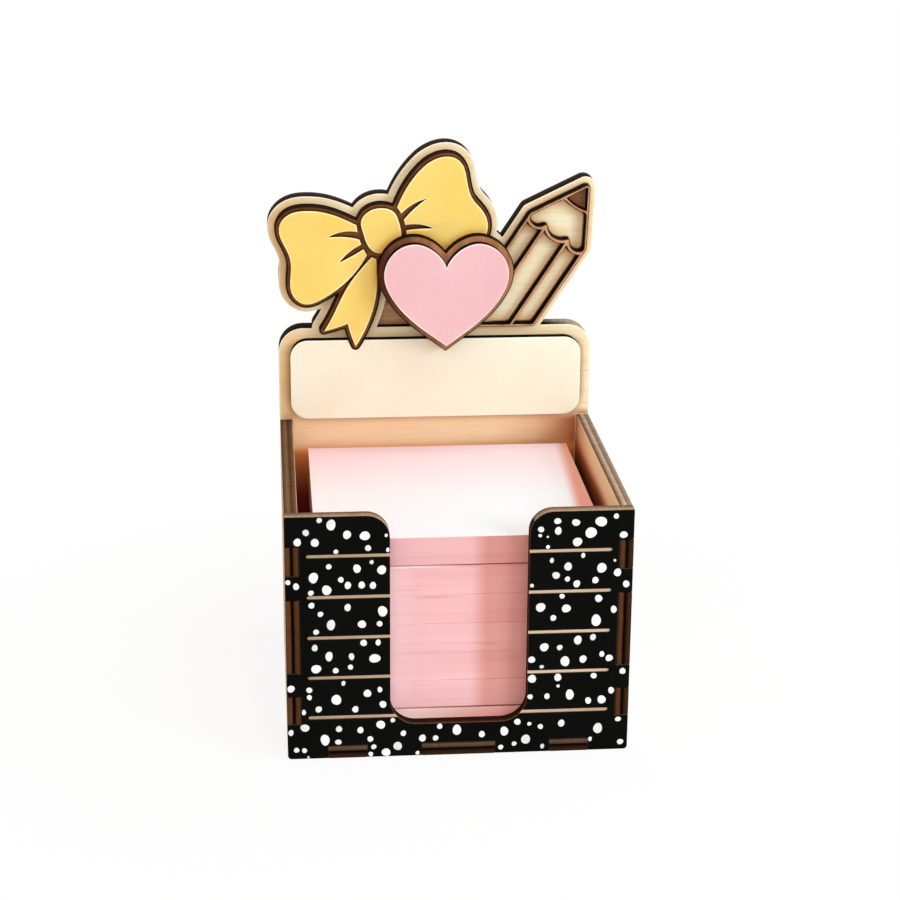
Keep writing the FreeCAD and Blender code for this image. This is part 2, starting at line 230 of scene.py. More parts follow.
class Finish:
    """A material and the few node steps that every finish here is made of."""

    def __init__(self, name, roughness, shine):
        self.material = bpy.data.materials.new(name)
        self.material.use_nodes = True
        self.tree = self.material.node_tree
        self.shader = self.tree.nodes["Principled BSDF"]
        self.shader.inputs["Roughness"].default_value = roughness
        self.shader.inputs["Specular IOR Level"].default_value = shine
        self.place = self.node("ShaderNodeTexCoord").outputs["Object"]

    def node(self, kind, **settings):
        made = self.tree.nodes.new(kind)
        for name, value in settings.items():
            setattr(made, name, value)
        return made

    def feed(self, socket, value):
        """Link an output to a socket, or set a plain value on it."""
        if isinstance(value, bpy.types.NodeSocket):
            self.tree.links.new(value, socket)
        else:
            socket.default_value = value

    def noise(self, per_metre, detail=3.0, roughness=0.5):
        """Noise with its own count of bumps per metre along x, y and z."""
        mapping = self.node("ShaderNodeMapping")
        self.feed(mapping.inputs["Vector"], self.place)
        mapping.inputs["Scale"].default_value = per_metre
        texture = self.node("ShaderNodeTexNoise")
        self.feed(texture.inputs["Vector"], mapping.outputs["Vector"])
        texture.inputs["Scale"].default_value = 1.0
        texture.inputs["Detail"].default_value = detail
        texture.inputs["Roughness"].default_value = roughness
        return texture.outputs["Fac"]

    def along(self, axis):
        """The place along one axis, in metres."""
        split = self.node("ShaderNodeSeparateXYZ")
        self.feed(split.inputs["Vector"], self.place)
        return split.outputs[axis]

    def span(self, value, low, high, start=0.0, end=1.0, ease="LINEAR"):
        """A value between low and high, carried over to start and end and held there."""
        reach = self.node("ShaderNodeMapRange", interpolation_type=ease)
        self.feed(reach.inputs["Value"], value)
        reach.inputs["From Min"].default_value = low
        reach.inputs["From Max"].default_value = high
        reach.inputs["To Min"].default_value = start
        reach.inputs["To Max"].default_value = end
        return reach.outputs["Result"]

    def add(self, first, second):
        total = self.node("ShaderNodeMath", operation="ADD")
        self.feed(total.inputs[0], first)
        self.feed(total.inputs[1], second)
        return total.outputs["Value"]

    def ramp(self, share, stops):
        """Colours over a share from 0 to 1."""
        ramp = self.node("ShaderNodeValToRGB")
        elements = ramp.color_ramp.elements
        elements[0].position, elements[0].color = stops[0]
        elements[1].position, elements[1].color = stops[-1]
        for place, colour in stops[1:-1]:
            elements.new(place).color = colour
        self.feed(ramp.inputs["Fac"], share)
        return ramp.outputs["Color"]

    def between(self, share, pale, deep, low=0.34, high=0.66):
        """A colour that goes from pale to deep as a share goes from low to high."""
        return self.ramp(share, [(low, light_values(pale)), (high, light_values(deep))])

    def mix(self, how, share, under, over):
        mixer = self.node("ShaderNodeMix", data_type="RGBA", blend_type=how)
        self.feed(mixer.inputs[mix_share], share)
        self.feed(mixer.inputs[mix_under], under)
        self.feed(mixer.inputs[mix_over], over)
        return mixer.outputs[mix_result]

    def shade(self, colour, share, dark, bright):
        """A colour made darker or brighter by a share around a half."""
        tone = self.ramp(share, [(shade_low, grey(dark)), (shade_high, grey(bright))])
        return self.mix("MULTIPLY", 1.0, colour, tone)

    def soot_and_shade(self, colour, reach, tint, strength, clear=0.95, dense=0.4):
        """A colour browned where another board stands close by: partly smoke from the cutting, partly painted
        shade.
        """
        near = self.node("ShaderNodeAmbientOcclusion", samples=8)
        near.inputs["Distance"].default_value = reach
        share = self.span(near.outputs["AO"], clear, dense, 0.0, strength)
        return self.mix("MULTIPLY", share, colour, light_values(tint))

    def bump(self, height, depth, strength=0.6):
        bump = self.node("ShaderNodeBump")
        bump.inputs["Distance"].default_value = depth
        bump.inputs["Strength"].default_value = strength
        self.feed(bump.inputs["Height"], height)
        self.feed(self.shader.inputs["Normal"], bump.outputs["Normal"])

    def colour(self, value):
        self.feed(self.shader.inputs["Base Color"], value)
        return self.material


def grain_scale(grain, lengthwise, across):
    """Bumps per metre, few along the grain and many across it."""
    return [lengthwise if axis == grain else across for axis in axes]


def wood_grain(finish, pale, deep, pore, grain):
    """Soft bands, fine fibres and short pores along the grain of a bare board."""
    bands = finish.noise(grain_scale(grain, 9, 150), 6.0, 0.62)
    fibres = finish.noise(grain_scale(grain, 60, 1700), 3.0, 0.6)
    pores = finish.noise(grain_scale(grain, 260, 2600), 2.0)
    wood = finish.shade(finish.between(bands, pale, deep), fibres, 0.94, 1.0)
    finish.bump(fibres, 0.04 * mm)
    dark_pores = finish.span(pores, pore_low, pore_high, 0.0, pore_share)
    return finish.mix("MIX", dark_pores, wood, light_values(pore))


def bare_wood(name, pale, deep, grain):
    finish = Finish(name, 0.62, 0.25)
    return finish.colour(wood_grain(finish, pale, deep, birch_pore, grain))


def deep_inside(finish, colour, top, bottom, darkest, middle, deep):
    """Painted shade: wood that darkens down the narrow gap beside the notes."""
    height = finish.along("Z")
    stops = [(0.0, light_values(middle)), (1.0, light_values(deep))]
    gap = finish.ramp(finish.span(height, (top + bottom) / 2, darkest), stops)
    return finish.mix("MIX", finish.span(height, top, bottom, 0.0, 0.95, "SMOOTHSTEP"), colour, gap)


def inside_wood(name):
    """The inner faces of the box: peach as painted warm bounce light, browner towards the rear corner and
    darker down the gap as painted shade.
    """
    finish = Finish(name, 0.65, 0.15)
    wood = wood_grain(finish, bounce_peach_pale, bounce_peach_deep, birch_pore, "Y")
    # Painted shade towards the rear corner
    corner = finish.span(finish.along("Y"), *side_corner, 0.05, 0.5, "SMOOTHSTEP")
    wood = finish.mix("MIX", corner, wood, light_values(corner_painted_shade))
    # Painted shade down the gap beside the notes
    return finish.colour(deep_inside(finish, wood, *side_gap, side_gap_mid, side_gap_deep))


def header_wood():
    """The header's birch: browned beside the layers on it, partly as smoke and partly as painted shade, with
    painted shade at its far left; down inside the box it turns peach as painted warm bounce light, with
    painted shade in the rear corner and down the gap.
    """
    finish = Finish("header_birch", 0.62, 0.25)
    across, height = finish.along("X"), finish.along("Z")
    clean = wood_grain(finish, birch_pale, birch_deep, birch_pore, "X")
    # Painted warm shade near the layers on the header
    clean = finish.soot_and_shade(clean, warm_reach, warm_shade, 0.5)
    # Browning and a dark line beside walls: partly smoke, partly painted shade and shadow
    smoky_shaded = finish.soot_and_shade(clean, soot_shade_reach, wood_soot_and_shade, 0.55)
    scorched = finish.soot_and_shade(smoky_shaded, scorch_shadow_reach, wood_scorch_and_shadow, 1.0, 0.85, 0.67)
    # Browning beside the name plate: partly smoke, partly painted shade
    beside_plate = finish.soot_and_shade(clean, soot_shade_reach, plate_soot_and_shade, 1.0)
    above = finish.mix("MIX", finish.span(height, *plate_head), beside_plate, clean)
    in_pencil = finish.mix("MIX", finish.span(height, *pencil_foot), above, scorched)
    above = finish.mix("MIX", finish.span(across, *pencil_left), above, in_pencil)
    # Painted shade: the header's far left is browner and darker
    far_left = finish.span(across, *far_left_side, 0.0, 0.35, "SMOOTHSTEP")
    above = finish.mix("MIX", far_left, above, light_values(far_left_painted_shade))
    # Below the box's mouth: peach as painted warm bounce light
    below = wood_grain(finish, bounce_peach_pale, bounce_peach_deep, birch_pore, "X")
    # Painted shade towards the rear right corner
    corner_shares = [(0.0, grey(0.0)), (0.5, grey(0.24)), (0.75, grey(0.53)), (1.0, grey(0.9))]
    corner = finish.ramp(finish.span(across, *rear_corner), corner_shares)
    below = finish.mix("MIX", corner, below, light_values(corner_painted_shade))
    # Painted shade down the gap behind the notes
    below = deep_inside(finish, below, *rear_gap, rear_gap_mid, rear_gap_deep)
    return finish.colour(finish.mix("MIX", finish.span(height, *box_mouth), below, above))


def stained_wood(name, pale, deep, grain, dark=0.78, across=None, scorch_and_shadow=None):
    """Brown board with a clear dark grain. It may be darker towards the left, which on the heart is painted
    shade, and darker beside a wall, partly as smoke and partly as painted shade.
    """
    finish = Finish(name, 0.6, 0.08)
    bands = finish.noise(grain_scale(grain, 30, 360), 3.0)
    fibres = finish.noise(grain_scale(grain, 150, 2600), 3.0, 0.6)
    finish.bump(fibres, 0.05 * mm)
    stain = finish.shade(finish.between(bands, pale, deep), fibres, dark, 1.06)
    # Darker towards the left: painted shade on the heart; on the engraved lines simply darker towards the
    # left
    if across:
        left, right, shade = across
        towards_right = finish.span(finish.along("X"), left, right)
        darker = finish.ramp(towards_right, [(0.0, light_values(shade)), (1.0, grey(1.0))])
        stain = finish.mix("MULTIPLY", 1.0, stain, darker)
    # Darker beside a wall: partly smoke, partly painted shade and shadow
    if scorch_and_shadow:
        stain = finish.soot_and_shade(stain, scorch_shadow_reach, scorch_and_shadow, 0.9)
    return finish.colour(stain)


def cut_edge(name, axis, inner, outer, plies, dark=0.84, lit_from=None):
    """Laser-cut edge of plywood: plies that waver a little, streaked across by the beam.

    Along the header's right shoulder the edge may be painted lighter, as painted light from the right.
    """
    finish = Finish(name, 0.8, 0.03)
    waver = finish.noise(grain_scale(axis, 40, 240), 3.0)
    streaks = finish.noise(grain_scale(axis, 60, 1500), 3.0, 0.65)
    straight = finish.span(finish.along(axis), inner, outer)
    depth = finish.add(straight, finish.span(waver, 0.3, 0.7, -ply_waver, ply_waver))
    edge = finish.ramp(depth, [(share, light_values(colour)) for share, colour in plies])
    # Painted light along the header's right shoulder
    if lit_from is not None:
        aside = finish.span(finish.along("X"), lit_from, lit_from + shoulder_length)
        clean = finish.mix("MIX", aside, edge, light_values(lit_shoulder_edge))
        clean = finish.shade(clean, streaks, 0.7, 1.0)
        shoulder_shares = [(0.0, grey(0.0)), (0.4, grey(1.0)), (0.69, grey(1.0)), (0.75, grey(0.0))]
        shoulder = finish.ramp(finish.span(finish.along("Z"), *right_shoulder), shoulder_shares)
        edge = finish.mix("MIX", shoulder, edge, clean)
    finish.bump(streaks, 0.02 * mm)
    return finish.colour(finish.shade(edge, streaks, dark, 1.08))


def painted_wood(name, pale, deep, grain, roughness=0.55, shine=0.2):
    """Thin paint on board: a faint cloud in the colour, a fine grit, the wood's fibres under it, and a
    browning beside another board that is partly smoke and partly painted shade.
    """
    finish = Finish(name, roughness, shine)
    cloud = finish.noise([60, 60, 60], 4.0)
    grit = finish.noise([1500, 1500, 1500], 3.0, 0.7)
    fibres = finish.noise(grain_scale(grain, 60, 1300), 3.0, 0.6)
    finish.bump(fibres, 0.025 * mm)
    paint = finish.shade(finish.between(cloud, pale, deep, 0.3, 0.7), grit, 0.955, 1.0)
    return finish.colour(finish.soot_and_shade(paint, soot_shade_reach, paint_soot_and_shade, 0.8))


def dot_paint():
    finish = Finish("white_dot_paint", 0.5, 0.3)
    coverage = finish.noise([140, 140, 140], 1.0)
    grit = finish.noise([1800, 1800, 1800], 2.0)
    finish.bump(grit, 0.03 * mm)
    return finish.colour(finish.between(coverage, dot_pale, dot_deep, 0.42, 0.68))


def paper_edges(name, pale, deep, painted_light_colour=None):
    """The cut sides of a pad: hundreds of sheet edges, with a thin line where some part a little.

    They carry a painted shadow behind the slot's right jamb, and may carry painted light beside its left one.
    """
    finish = Finish(name, 0.85, 0.1)
    clumps = finish.noise([20, 20, 130], 2.0)
    sheets = finish.noise([12, 12, 3000], 2.0, 0.7)
    parted = finish.noise([30, 30, 420], 1.0)
    paper = finish.shade(finish.between(clumps, pale, deep), sheets, 0.98, 1.0)
    finish.bump(sheets, 0.03 * mm)
    paper = finish.mix("MIX", finish.span(parted, 0.68, 0.76, 0.0, 0.6), paper, light_values(paper_line))
    # Painted light beside the slot's left jamb
    if painted_light_colour:
        lit_shares = [(0.0, grey(0.0)), (0.2, grey(0.0)), (0.42, grey(0.9)), (1.0, grey(0.0))]
        lit = finish.ramp(finish.span(finish.along("X"), *slot_left_side), lit_shares)
        paper = finish.mix("MIX", lit, paper, light_values(painted_light_colour))
    # Painted shadow behind the slot's right jamb
    behind_jamb = finish.span(finish.along("X"), *slot_right_side, 0.0, 1.0, "SMOOTHSTEP")
    return finish.colour(finish.mix("MULTIPLY", behind_jamb, paper, light_values(jamb_shade)))


def parted_sheets(name, left, right):
    """The edges of a few sheets at a break in the stack, in a colour that changes from the slot's left to its
    right, to stand for the light and shade there.
    """
    finish = Finish(name, 0.85, 0.1)
    grit = finish.noise([1500, 1500, 1500], 3.0, 0.7)
    finish.bump(grit, 0.02 * mm)
    across = finish.span(finish.along("X"), *slot_middle, 0.0, 1.0, "SMOOTHSTEP")
    line = finish.mix("MIX", across, light_values(left), light_values(right))
    return finish.colour(finish.shade(line, grit, 0.95, 1.0))


def paper_face():
    """The face of a sheet: the pink paper shown nearly white as a painted highlight, pinker towards its glued
    back edge and its left as painted shade, and with a painted shadow of the box's right wall along its right
    edge.
    """
    finish = Finish("pink_paper_face", 0.8, 0.1)
    fibre = finish.noise([900, 900, 900], 4.0, 0.6)
    cloud = finish.noise([26, 26, 26], 2.0)
    # Painted shade: pinker towards the back and the left
    back = finish.span(finish.along("Y"), *sheet_back, 0.0, 0.82, "SMOOTHSTEP")
    left = finish.span(finish.along("X"), *sheet_width, 0.25, -0.12)
    sheet = finish.mix("MIX", finish.add(back, left), light_values(sheet_painted_highlight), light_values(sheet_shaded_pink))
    # Painted shadow of the box's right wall: a band along the right edge that narrows towards the back
    lean = finish.span(finish.along("Y"), *sheet_depth, sheet_wall_shadow_lean, -sheet_wall_shadow_lean)
    wedge = finish.add(finish.along("X"), lean)
    right = finish.span(wedge, *sheet_wall_shadow_side, 0.0, 1.0, "SMOOTHSTEP")
    sheet = finish.mix("MIX", right, sheet, light_values(sheet_wall_shadow))
    finish.bump(fibre, 0.015 * mm)
    return finish.colour(finish.shade(sheet, cloud, 0.985, 1.0))


# Limits by which the faces and edges of a board are told apart
same_place = 0.002 * mm
same_plane = math.radians(0.6)
corner_angle = math.radians(35)
crease_angle = math.radians(28)
partly, mainly, squarely = 0.5, 0.9, 0.99
edge_facing = 0.7
flat_facing = 0.975
jamb_facing = 0.6
engraved_floor = 0.25 * mm
engraved_wall = 0.6 * mm


def span_of(node, axis):
    """Where a board of the model starts and ends along an axis."""
    low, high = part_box(node)
    place = axes.index(axis)
    return low[place], high[place]


def finished(name, mesh_data, materials, body, nodes):
    """Make a mesh a piece that rides on a body and stands for nodes of the model."""
    mesh = bpy.data.meshes.new(name)
    mesh_data.to_mesh(mesh)
    mesh_data.free()
    for material in materials:
        mesh.materials.append(material)
    piece = bpy.data.objects.new(name, mesh)
    bpy.context.collection.objects.link(piece)
    mesh.set_sharp_from_angle(angle=crease_angle)
    if body:
        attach(piece, body)
    if nodes:
        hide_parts(*nodes)
    return piece


def merged_board(node, nearest):
    """A copy of a board with each flat face in as few pieces as it can be."""
    board = bmesh.new()
    board.from_mesh(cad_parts[node].data)
    bmesh.ops.remove_doubles(board, verts=board.verts, dist=nearest)
    bmesh.ops.dissolve_limit(
        board, angle_limit=same_plane, verts=board.verts, edges=board.edges, delimit={"NORMAL"}
    )
    return board


def on_engraving(edge):
    """Whether an edge belongs to the low wall of an engraved line."""
    for face in edge.link_faces:
        depths = [vert.co.y for vert in face.verts]
        if abs(face.normal.y) < partly and max(depths) - min(depths) < engraved_wall:
            return True
    return False


def eased_board(node, ease):
    """A copy of a board with its cut corners slightly rounded."""
    board = merged_board(node, same_place)
    closed = [e for e in board.edges if len(e.link_faces) == 2]
    corners = [e for e in closed if e.calc_face_angle() > corner_angle and not on_engraving(e)]
    bmesh.ops.bevel(
        board, geom=corners, offset=ease, offset_type="OFFSET", segments=2, profile=0.5,
        affect="EDGES", material=-1, clamp_overlap=True,
    )
    for face in board.faces:
        face.smooth = True
    return board


# Places of a board's finishes
low_side, high_side, cut_side, low_arris, high_arris, other_cut = range(6)


def faced_board(node, axis, ease):
    """An eased board with a finish for each face, for its cut edges and for the arris round each face."""
    board = eased_board(node, ease)
    place = axes.index(axis)
    for face in board.faces:
        facing = face.normal[place]
        if abs(facing) < edge_facing:
            face.material_index = cut_side
        elif abs(facing) < flat_facing:
            face.material_index = low_arris if facing < 0 else high_arris
        else:
            face.material_index = low_side if facing < 0 else high_side
    return board


def chamfered_board(node, arris, drop, shortest):
    """A header layer with a narrow sloping arris round its front and its back."""
    layer = merged_board(node, shortest)
    for face in layer.faces:
        face.material_index = cut_side
    for facing, side, line in ((-1, low_side, low_arris), (1, high_side, high_arris)):
        uncut = [face for face in layer.faces if face.material_index == cut_side]
        flat = [face for face in uncut if face.normal.y * facing > mainly]
        rim = bmesh.ops.inset_region(
            layer, faces=flat, thickness=arris, depth=0.0, use_boundary=True, use_even_offset=False
        )["faces"]
        kept = {vert for face in flat for vert in face.verts}
        outer = {vert for face in rim for vert in face.verts} - kept
        bmesh.ops.translate(layer, vec=(0, -facing * drop, 0), verts=list(outer))
        for face in flat:
            face.material_index = side
        for face in rim:
            face.material_index = line
    for face in layer.faces:
        face.smooth = face.material_index not in (low_side, high_side)
    return layer


wood_y = bare_wood("birch_along_y", birch_pale, birch_deep, "Y")
wood_x = bare_wood("birch_along_x", birch_pale, birch_deep, "X")
inner_wood = inside_wood("inner_birch")
# The rear board's front, painted brown as the shade inside the header's window
window_shade_wood = stained_wood("window_painted_shade", window_shade_pale, window_shade_deep, "X")
# The side walls' outer faces: birch painted darker as shade
outside_wood = bare_wood("outside_birch", outside_shade_pale, outside_shade_deep, "Y")
# Painted highlight: a pale line along the eased edges of birch boards
pale_arris = bare_wood("birch_arris_highlight", wood_arris_highlight, birch_pale, "X")
front_birch = header_wood()
brown_wood = stained_wood("brown_stain", brown_pale, brown_deep, "X", scorch_and_shadow=brown_scorch_and_shadow)
brown_line = stained_wood("brown_arris", brown_arris_pale, brown_arris_deep, "X")
heart_left, heart_right = span_of("heart_backing", "X")
heart_share = 0.45
heart_middle = heart_left * (1 - heart_share) + heart_right * heart_share
# Painted shade on the heart's brown, from its left side to near its middle
heart_painted_shade = (heart_left, heart_middle, heart_brown_shade_left)
heart_brown = stained_wood("heart_brown_stain_and_shade", heart_brown_pale, heart_brown_deep, "Z", 0.84, heart_painted_shade)
fret_wood = stained_wood("fret_stain", fret_pale, fret_deep, "Z", 0.88)
fret_line = stained_wood("fret_arris", brown_deep, fret_arris, "Z")
lead_wood = stained_wood("lead_stain", lead_pale, lead_deep, "X")
yellow_paint = painted_wood("yellow_paint", yellow_pale, yellow_deep, "X")
# Painted highlight along the yellow pieces' arris
yellow_line = painted_wood("yellow_arris_highlight", yellow_arris_highlight, yellow_pale, "X")
pink_paint = painted_wood("pink_paint", pink_pale, pink_deep, "Z")
# Painted highlight along the pink heart's arris
pink_line = painted_wood("pink_arris_highlight", pink_arris_highlight, pink_pale, "Z")
cream_paint = painted_wood("cream_paint", cream_pale, cream_deep, "X")
# Painted highlight along the cream plate's arris
cream_line = painted_wood("cream_arris_highlight", cream_arris_highlight, cream_pale, "X")
black_paint = painted_wood("black_paint", black_pale, black_deep, "X", 0.6, 0.03)
engraved_shade = (*engraved_middle, engraved_left)
engraved_wood = stained_wood("engraved_wood", engraved_pale, engraved_deep, "X", 0.86, engraved_shade)
groove_shade_wood = stained_wood("groove_shade_wood", groove_shade_pale, groove_shade_deep, "X")
white_dots = dot_paint()
sheet_edge = paper_edges("pink_paper_edges", paper_pale, paper_deep, paper_painted_light_left)
top_sheet_edge = paper_edges("top_pad_edges", top_paper_pale, top_paper_deep)
sheet_face = paper_face()
parting_painted_shadow = parted_sheets("parting_painted_shadow", parting_shadow_left, parting_shadow_right)
paper_arris_highlight = parted_sheets("paper_arris_highlight", arris_highlight_left, arris_highlight_right)
lowest_sheet_edge = parted_sheets("lowest_pad_edges", lowest_left, lowest_right)

# Box
box_ease = 0.2 * mm
base_ease = 0.06 * mm
finger_swell = 0.09 * mm
wall_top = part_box("front_panel")[1][2]
slot_shoulder = 6.5 * mm


def base_panel():
    """The floor of the box, whose front fingers fill their notches."""
    base = faced_board("base_panel", "Z", base_ease)
    low, high = span_of("base_panel", "Z")
    front_inside = span_of("front_panel", "Y")[1]
    for face in base.faces:
        if abs(face.normal.x) > squarely and face.calc_center_median().y < front_inside:
            bmesh.ops.translate(base, vec=face.normal * finger_swell, verts=face.verts)
    fingers = cut_edge("base_finger_ends", "Z", high, low, base_finger_plies)
    finishes = [wood_y, inner_wood, fingers, fingers, fingers]
    return finished("base_panel_finish", base, finishes, "holder", ["base_panel"])


def side_panel(node, inner, outer, low_face, high_face, top_plies, finger_plies):
    """A side wall: its top edge shows the plies, and its finger ends are scorched."""
    wall = faced_board(node, "X", box_ease)
    for face in wall.faces:
        below_top = face.calc_center_median().z < wall_top - box_ease
        if below_top and face.material_index not in (low_side, high_side):
            face.material_index = other_cut
    top = cut_edge(node + "_top", "X", inner, outer, top_plies, 0.72)
    fingers = cut_edge(node + "_finger_ends", "X", inner, outer, finger_plies)
    finishes = [low_face, high_face, top, pale_arris, pale_arris, fingers]
    return finished(node + "_finish", wall, finishes, "holder", [node])


def front_panel():
    """The black front, with the wood showing on the floors of its engraved lines and on its cut edges."""
    front = faced_board("front_panel", "Y", box_ease)
    front_y, back_y = span_of("front_panel", "Y")
    engraved, groove = other_cut + 1, other_cut + 2
    for face in front.faces:
        middle = face.calc_center_median()
        deepest = max(vert.co.y for vert in face.verts) - front_y
        if face.material_index in (low_side, low_arris) and middle.y - front_y > engraved_floor:
            face.material_index = engraved
        # the engraved lines' walls take a painted shade
        elif face.material_index != low_side and deepest < engraved_wall and middle.y - front_y > box_ease:
            face.material_index = groove
        # Lower cut faces and left-facing jamb faces take the darker plies as painted shade
        elif face.material_index == cut_side and middle.z < wall_top - slot_shoulder:
            face.material_index = other_cut
        elif face.material_index == cut_side and face.normal.x < 0 and face.normal.z < jamb_facing:
            face.material_index = other_cut
    top = cut_edge("front_top", "Y", back_y, front_y, front_top_plies)
    slot = cut_edge("front_slot", "Y", back_y, front_y, slot_plies)
    finishes = [black_paint, wood_x, top, black_paint, pale_arris, slot, engraved_wood, groove_shade_wood]
    return finished("front_panel_finish", front, finishes, "holder", ["front_panel"])


base_panel()
left_outer, left_inner = span_of("left_side_panel", "X")
right_inner, right_outer = span_of("right_side_panel", "X")
side_panel(
    "left_side_panel", left_inner, left_outer, outside_wood, inner_wood,
    left_top_plies, left_finger_plies,
)
side_panel(
    "right_side_panel", right_inner, right_outer, inner_wood, outside_wood,
    right_top_plies, right_finger_plies,
)
front_panel()

# Dots of the front: across, up, width and height in millimetres
front_dots = (
    (-36.4, 67.5, 1.4, 1.4), (-33.4, 66.2, 2.4, 2.9), (-39.9, 64.2, 1.6, 1.8), (-42.1, 61.6, 2.0, 2.1),
    (-37.6, 61.4, 2.0, 2.3), (-29.3, 63.4, 2.0, 2.4), (-24.7, 63.0, 2.8, 2.3), (-23.9, 59.6, 1.5, 1.7),
    (-32.2, 58.8, 1.3, 1.2), (-19.2, 63.0, 0.8, 0.9), (-18.8, 59.0, 0.9, 1.2), (-23.0, 55.7, 1.1, 1.1),
    (-34.1, 54.7, 1.4, 1.5), (-26.8, 54.0, 2.0, 2.3), (-20.4, 53.5, 2.4, 2.4), (-38.1, 51.7, 2.4, 2.9),
    (-44.7, 50.6, 1.3, 1.4), (-42.6, 49.4, 1.6, 1.8), (-31.0, 51.0, 1.4, 1.6), (-29.2, 49.4, 1.6, 2.1),
    (-25.6, 49.4, 1.8, 1.9), (-22.7, 49.2, 1.7, 1.9), (-34.7, 48.2, 2.5, 2.6), (-38.8, 47.5, 1.5, 1.4),
    (-38.7, 44.0, 1.6, 1.6), (-29.3, 43.2, 1.7, 2.0), (-36.4, 41.5, 1.5, 1.5), (-20.2, 41.9, 2.5, 2.9),
    (-33.7, 38.4, 2.2, 2.9), (-25.6, 38.4, 2.1, 2.2), (-21.0, 38.4, 1.5, 1.6), (-37.6, 36.5, 1.5, 1.5),
    (-25.2, 33.1, 1.7, 1.9), (-21.4, 33.1, 1.4, 1.7), (-38.0, 32.0, 1.6, 1.8), (-34.3, 29.5, 1.9, 2.7),
    (-28.4, 29.3, 1.4, 2.0), (-22.3, 28.6, 2.9, 2.5), (-37.7, 26.0, 2.6, 2.4), (-28.7, 26.3, 1.3, 1.5),
    (-32.6, 25.4, 1.5, 1.6), (-44.4, 20.5, 1.9, 2.0), (-39.6, 20.0, 1.6, 1.5), (-39.6, 17.9, 1.3, 1.5),
    (-30.6, 21.7, 1.1, 1.4), (-32.5, 17.0, 2.5, 3.0), (-24.3, 18.6, 2.0, 2.2), (-21.0, 19.6, 1.3, 1.6),
    (-20.2, 15.3, 1.8, 2.0), (-37.2, 14.4, 1.7, 1.8), (-41.1, 13.6, 1.1, 1.5), (-27.5, 14.1, 1.7, 1.8),
    (-17.6, 10.6, 1.2, 1.3), (-40.9, 9.1, 2.4, 2.1), (-44.6, 7.8, 1.4, 1.7), (-31.9, 8.5, 1.6, 1.8),
    (-26.2, 8.0, 1.7, 1.8), (-20.8, 9.4, 2.3, 2.4), (-35.6, 5.4, 2.4, 3.2), (-32.1, 4.7, 1.7, 1.5),
    (-23.6, 5.3, 1.6, 1.6), (-22.7, 3.0, 1.4, 1.4), (-23.5, 0.9, 1.2, 1.4), (-19.4, 1.3, 2.3, 2.3),
    (-16.3, 3.0, 2.2, 2.5), (-43.2, 2.7, 1.4, 1.5), (-41.1, 2.5, 1.4, 1.4), (-40.1, 0.5, 0.7, 0.7),
    (25.3, 65.8, 1.8, 1.7), (21.0, 63.6, 1.6, 1.6), (25.5, 63.1, 1.8, 2.1), (20.8, 61.9, 1.0, 0.9),
    (22.8, 61.5, 0.6, 0.6), (22.9, 58.7, 1.1, 1.0), (30.1, 65.3, 2.2, 1.8), (30.6, 59.9, 2.4, 2.4),
    (34.1, 62.4, 2.9, 3.0), (36.7, 65.4, 3.0, 2.7), (40.6, 66.8, 1.4, 1.4), (42.7, 61.6, 2.0, 1.9),
    (32.2, 56.1, 1.1, 1.4), (24.0, 54.9, 1.1, 1.4), (28.3, 53.1, 2.1, 2.2), (25.2, 50.7, 2.0, 1.9),
    (28.2, 49.6, 1.4, 1.4), (30.7, 48.2, 1.8, 2.0), (37.2, 52.5, 2.4, 2.8), (40.6, 54.5, 0.7, 0.7),
    (41.4, 51.1, 2.0, 2.1), (35.6, 49.1, 1.6, 1.9), (18.9, 48.0, 1.0, 1.1), (43.8, 47.8, 1.8, 1.9),
    (26.9, 44.8, 1.4, 1.3), (36.6, 43.9, 2.0, 2.0), (21.3, 41.8, 2.5, 2.5), (28.1, 41.3, 2.3, 2.3),
    (24.7, 38.7, 1.5, 1.7), (40.7, 40.7, 1.6, 2.0), (36.1, 37.7, 2.6, 3.2), (31.4, 32.2, 2.1, 2.5),
    (35.4, 32.9, 1.6, 1.8), (22.5, 30.4, 2.3, 2.3), (26.6, 30.2, 1.5, 1.5), (19.2, 26.9, 1.8, 1.9),
    (28.1, 26.2, 2.3, 3.0), (32.9, 26.7, 1.9, 2.1), (37.9, 28.0, 1.4, 1.6), (39.9, 26.8, 1.9, 1.9),
    (21.9, 24.8, 1.1, 1.0), (19.4, 21.4, 2.1, 2.4), (26.3, 21.6, 2.0, 2.1), (35.9, 21.8, 1.6, 1.6),
    (43.6, 22.9, 1.6, 1.8), (26.4, 19.1, 0.9, 0.9), (19.0, 16.2, 1.4, 1.5), (23.5, 16.2, 1.5, 1.6),
    (29.6, 16.5, 2.2, 2.9), (34.6, 14.6, 1.6, 1.9), (38.2, 14.8, 2.3, 2.3), (40.7, 17.4, 1.6, 1.9),
    (42.8, 8.9, 1.6, 1.4), (18.9, 8.3, 1.1, 1.1), (27.5, 8.2, 1.8, 2.0), (21.9, 7.4, 1.4, 1.5),
    (37.4, 6.4, 2.5, 2.9), (18.0, 3.8, 2.5, 2.6), (22.5, 1.6, 1.1, 1.4), (35.4, 3.3, 1.0, 1.3),
    (43.6, 2.2, 1.7, 1.6), (-5.1, 8.4, 1.5, 1.5), (-0.5, 7.2, 2.4, 2.9), (-14.8, 6.7, 1.5, 1.6),
    (-9.7, 5.1, 1.9, 2.0), (-6.2, 5.0, 1.5, 1.6), (6.2, 5.7, 1.7, 1.8), (12.2, 6.4, 2.2, 2.6),
    (15.7, 9.0, 1.7, 1.8), (-11.0, 0.8, 1.1, 1.1), (11.3, 1.7, 1.4, 1.4), (14.9, 2.6, 1.3, 1.3),
)
dot_sides = 16
dot_rise = 0.05 * mm
dot_sink = 0.03 * mm
dot_crown_share = 0.16
dot_oval = 0.045
dot_lobe = 0.03
dot_seed = 7


